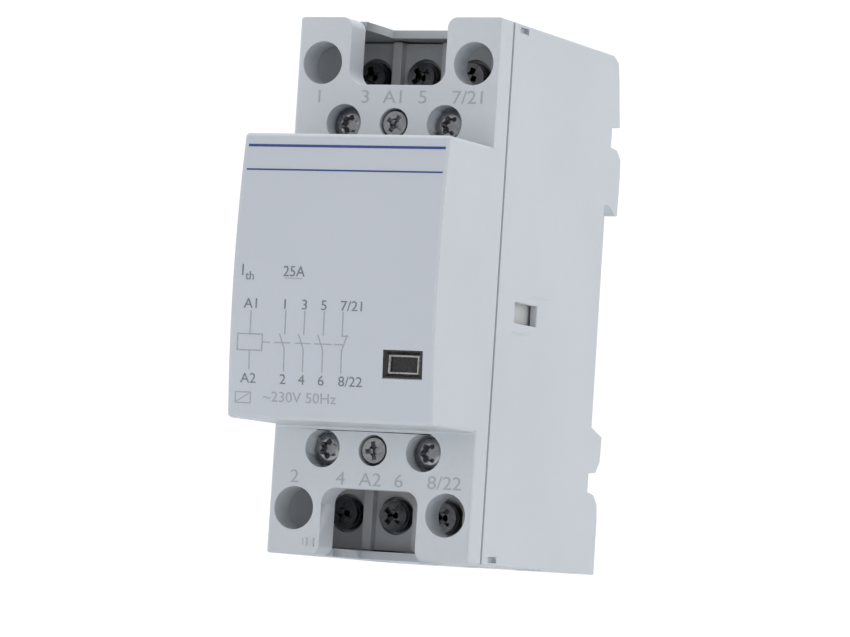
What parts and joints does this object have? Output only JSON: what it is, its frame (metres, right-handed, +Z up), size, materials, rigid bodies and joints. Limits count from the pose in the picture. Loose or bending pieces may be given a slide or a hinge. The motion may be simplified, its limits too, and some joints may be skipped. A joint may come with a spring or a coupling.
{
  "type": "din rail contactor",
  "caption": "Modular installation contactor for a 35 mm rail: stepped moulded case, end notches with deep screw terminals, coil, carrier with bridge contacts and indicator.",
  "frame": {"origin": "middle of the flat that seats on the rail", "axes": "+X to the right seen from the front, +Y back towards the rail and the panel, +Z up the case"},
  "size_m": [0.0352, 0.0662, 0.085],
  "materials": {
    "housing": "fine satin moulding, light cool grey",
    "label": "smooth printed film, slightly bluer grey",
    "block_plastic": "mid-grey moulding",
    "black_plastic": "black",
    "carrier_plastic": "light grey moulding",
    "latch_plastic": "dark moulding",
    "bobbin_plastic": "cream glass-filled nylon",
    "zinc_steel": "bright zinc plate",
    "spring_steel": "drawn wire",
    "laminated_steel": "stacked laminations",
    "copper": "copper",
    "brass": "rolled brass strip"
  },
  "bodies": {
    "housing": {"base_housing": "housing", "front_cover": "housing", "front_label": "label", "din_latch_spring": "spring_steel", "fixed_core": "laminated_steel", "coil_bobbin": "bobbin_plastic", "coil_winding": "copper", "terminal_block_upper": "block_plastic", "shading_ring_upper": "copper", "return_spring_upper": "spring_steel", "cover_screw_upper_left": "zinc_steel", "cover_screw_upper_right": "zinc_steel", "terminal_block_lower": "block_plastic", "shading_ring_lower": "copper", "return_spring_lower": "spring_steel", "cover_screw_lower_left": "zinc_steel", "cover_screw_lower_right": "zinc_steel", "coil_terminal_a1": "brass", "coil_terminal_a2": "brass", "fixed_contact_1": "brass", "fixed_contact_2": "brass", "fixed_contact_3": "brass", "fixed_contact_4": "brass", "fixed_contact_5": "brass", "fixed_contact_6": "brass", "fixed_contact_7": "brass", "fixed_contact_8": "brass"},
    "moving_carrier": {"contact_carrier": "carrier_plastic", "position_indicator": "black_plastic", "armature": "laminated_steel", "contact_spring_1_2": "spring_steel", "contact_spring_3_4": "spring_steel", "contact_spring_5_6": "spring_steel", "contact_spring_7_8": "spring_steel"},
    "bridge_1_2": {"contact_bridge_1_2": "copper"},
    "bridge_3_4": {"contact_bridge_3_4": "copper"},
    "bridge_5_6": {"contact_bridge_5_6": "copper"},
    "bridge_7_8": {"contact_bridge_7_8": "copper"},
    "rail_latch": {"din_latch": "latch_plastic"},
    "screw_1": {"terminal_screw_1": "zinc_steel"},
    "clamp_1": {"terminal_clamp_1": "zinc_steel"},
    "screw_2": {"terminal_screw_2": "zinc_steel"},
    "clamp_2": {"terminal_clamp_2": "zinc_steel"},
    "screw_3": {"terminal_screw_3": "zinc_steel"},
    "clamp_3": {"terminal_clamp_3": "zinc_steel"},
    "screw_4": {"terminal_screw_4": "zinc_steel"},
    "clamp_4": {"terminal_clamp_4": "zinc_steel"},
    "screw_5": {"terminal_screw_5": "zinc_steel"},
    "clamp_5": {"terminal_clamp_5": "zinc_steel"},
    "screw_6": {"terminal_screw_6": "zinc_steel"},
    "clamp_6": {"terminal_clamp_6": "zinc_steel"},
    "screw_7": {"terminal_screw_7": "zinc_steel"},
    "clamp_7": {"terminal_clamp_7": "zinc_steel"},
    "screw_8": {"terminal_screw_8": "zinc_steel"},
    "clamp_8": {"terminal_clamp_8": "zinc_steel"},
    "screw_a1": {"coil_screw_a1": "zinc_steel"},
    "clamp_a1": {"coil_clamp_a1": "zinc_steel"},
    "screw_a2": {"coil_screw_a2": "zinc_steel"},
    "clamp_a2": {"coil_clamp_a2": "zinc_steel"}
  },
  "joints": [
    {"name": "carrier_slide", "type": "slide", "parent": "housing", "child": "moving_carrier", "axis": [0, 1, 0], "range_m": [0, 0.004], "stiffness_N_per_m": 350, "springref_m": -0.003, "deforming": ["return_spring_upper", "return_spring_lower"]},
    {"name": "bridge_1_2_slide", "type": "slide", "parent": "moving_carrier", "child": "bridge_1_2", "axis": [0, -1, 0], "range_m": [0, 0.001], "deforming": ["contact_spring_1_2"]},
    {"name": "bridge_3_4_slide", "type": "slide", "parent": "moving_carrier", "child": "bridge_3_4", "axis": [0, -1, 0], "range_m": [0, 0.001], "deforming": ["contact_spring_3_4"]},
    {"name": "bridge_5_6_slide", "type": "slide", "parent": "moving_carrier", "child": "bridge_5_6", "axis": [0, -1, 0], "range_m": [0, 0.001], "deforming": ["contact_spring_5_6"]},
    {"name": "bridge_7_8_slide", "type": "slide", "parent": "moving_carrier", "child": "bridge_7_8", "axis": [0, -1, 0], "range_m": [0, 0.001], "deforming": ["contact_spring_7_8"]},
    {"name": "latch_slide", "type": "slide", "parent": "housing", "child": "rail_latch", "axis": [0, 0, -1], "range_m": [0, 0.003], "stiffness_N_per_m": 1500, "springref_m": -0.001, "deforming": ["din_latch_spring"]},
    {"name": "screw_1_turn", "type": "hinge", "parent": "housing", "child": "screw_1", "pos_m": [-0.0132, -0.0265, 0.03525], "axis": [0, 1, 0], "range_deg": [0, 2058]},
    {"name": "clamp_1_slide", "type": "slide", "parent": "housing", "child": "clamp_1", "axis": [0, -1, 0], "range_m": [0, 0.004]},
    {"name": "screw_2_turn", "type": "hinge", "parent": "housing", "child": "screw_2", "pos_m": [-0.0132, -0.0265, -0.03525], "axis": [0, 1, 0], "range_deg": [0, 2058]},
    {"name": "clamp_2_slide", "type": "slide", "parent": "housing", "child": "clamp_2", "axis": [0, -1, 0], "range_m": [0, 0.004]},
    {"name": "screw_3_turn", "type": "hinge", "parent": "housing", "child": "screw_3", "pos_m": [-0.0044, -0.0265, 0.03525], "axis": [0, 1, 0], "range_deg": [0, 2058]},
    {"name": "clamp_3_slide", "type": "slide", "parent": "housing", "child": "clamp_3", "axis": [0, -1, 0], "range_m": [0, 0.004]},
    {"name": "screw_4_turn", "type": "hinge", "parent": "housing", "child": "screw_4", "pos_m": [-0.0044, -0.0265, -0.03525], "axis": [0, 1, 0], "range_deg": [0, 2058]},
    {"name": "clamp_4_slide", "type": "slide", "parent": "housing", "child": "clamp_4", "axis": [0, -1, 0], "range_m": [0, 0.004]},
    {"name": "screw_5_turn", "type": "hinge", "parent": "housing", "child": "screw_5", "pos_m": [0.0044, -0.0265, 0.03525], "axis": [0, 1, 0], "range_deg": [0, 2058]},
    {"name": "clamp_5_slide", "type": "slide", "parent": "housing", "child": "clamp_5", "axis": [0, -1, 0], "range_m": [0, 0.004]},
    {"name": "screw_6_turn", "type": "hinge", "parent": "housing", "child": "screw_6", "pos_m": [0.0044, -0.0265, -0.03525], "axis": [0, 1, 0], "range_deg": [0, 2058]},
    {"name": "clamp_6_slide", "type": "slide", "parent": "housing", "child": "clamp_6", "axis": [0, -1, 0], "range_m": [0, 0.004]},
    {"name": "screw_7_turn", "type": "hinge", "parent": "housing", "child": "screw_7", "pos_m": [0.0132, -0.0265, 0.03525], "axis": [0, 1, 0], "range_deg": [0, 2058]},
    {"name": "clamp_7_slide", "type": "slide", "parent": "housing", "child": "clamp_7", "axis": [0, -1, 0], "range_m": [0, 0.004]},
    {"name": "screw_8_turn", "type": "hinge", "parent": "housing", "child": "screw_8", "pos_m": [0.0132, -0.0265, -0.03525], "axis": [0, 1, 0], "range_deg": [0, 2058]},
    {"name": "clamp_8_slide", "type": "slide", "parent": "housing", "child": "clamp_8", "axis": [0, -1, 0], "range_m": [0, 0.004]},
    {"name": "screw_a1_turn", "type": "hinge", "parent": "housing", "child": "screw_a1", "pos_m": [0, -0.0436, 0.0257], "axis": [0, 1, 0], "range_deg": [0, 1729]},
    {"name": "clamp_a1_slide", "type": "slide", "parent": "housing", "child": "clamp_a1", "axis": [0, -1, 0], "range_m": [0, 0.0024]},
    {"name": "screw_a2_turn", "type": "hinge", "parent": "housing", "child": "screw_a2", "pos_m": [0, -0.0436, -0.0257], "axis": [0, 1, 0], "range_deg": [0, 1729]},
    {"name": "clamp_a2_slide", "type": "slide", "parent": "housing", "child": "clamp_a2", "axis": [0, -1, 0], "range_m": [0, 0.0024]}
  ],
  "couplings": [
    {"joint": "bridge_1_2_slide", "follows": "carrier_slide", "ratio": 0.25},
    {"joint": "bridge_3_4_slide", "follows": "carrier_slide", "ratio": 0.25},
    {"joint": "bridge_5_6_slide", "follows": "carrier_slide", "ratio": 0.25},
    {"joint": "bridge_7_8_slide", "follows": "carrier_slide", "ratio": 0.25},
    {"joint": "screw_1_turn", "follows": "clamp_1_slide", "rad_per_m": 8976},
    {"joint": "screw_2_turn", "follows": "clamp_2_slide", "rad_per_m": 8976},
    {"joint": "screw_3_turn", "follows": "clamp_3_slide", "rad_per_m": 8976},
    {"joint": "screw_4_turn", "follows": "clamp_4_slide", "rad_per_m": 8976},
    {"joint": "screw_5_turn", "follows": "clamp_5_slide", "rad_per_m": 8976},
    {"joint": "screw_6_turn", "follows": "clamp_6_slide", "rad_per_m": 8976},
    {"joint": "screw_7_turn", "follows": "clamp_7_slide", "rad_per_m": 8976},
    {"joint": "screw_8_turn", "follows": "clamp_8_slide", "rad_per_m": 8976},
    {"joint": "screw_a1_turn", "follows": "clamp_a1_slide", "rad_per_m": 12566},
    {"joint": "screw_a2_turn", "follows": "clamp_a2_slide", "rad_per_m": 12566}
  ]
}
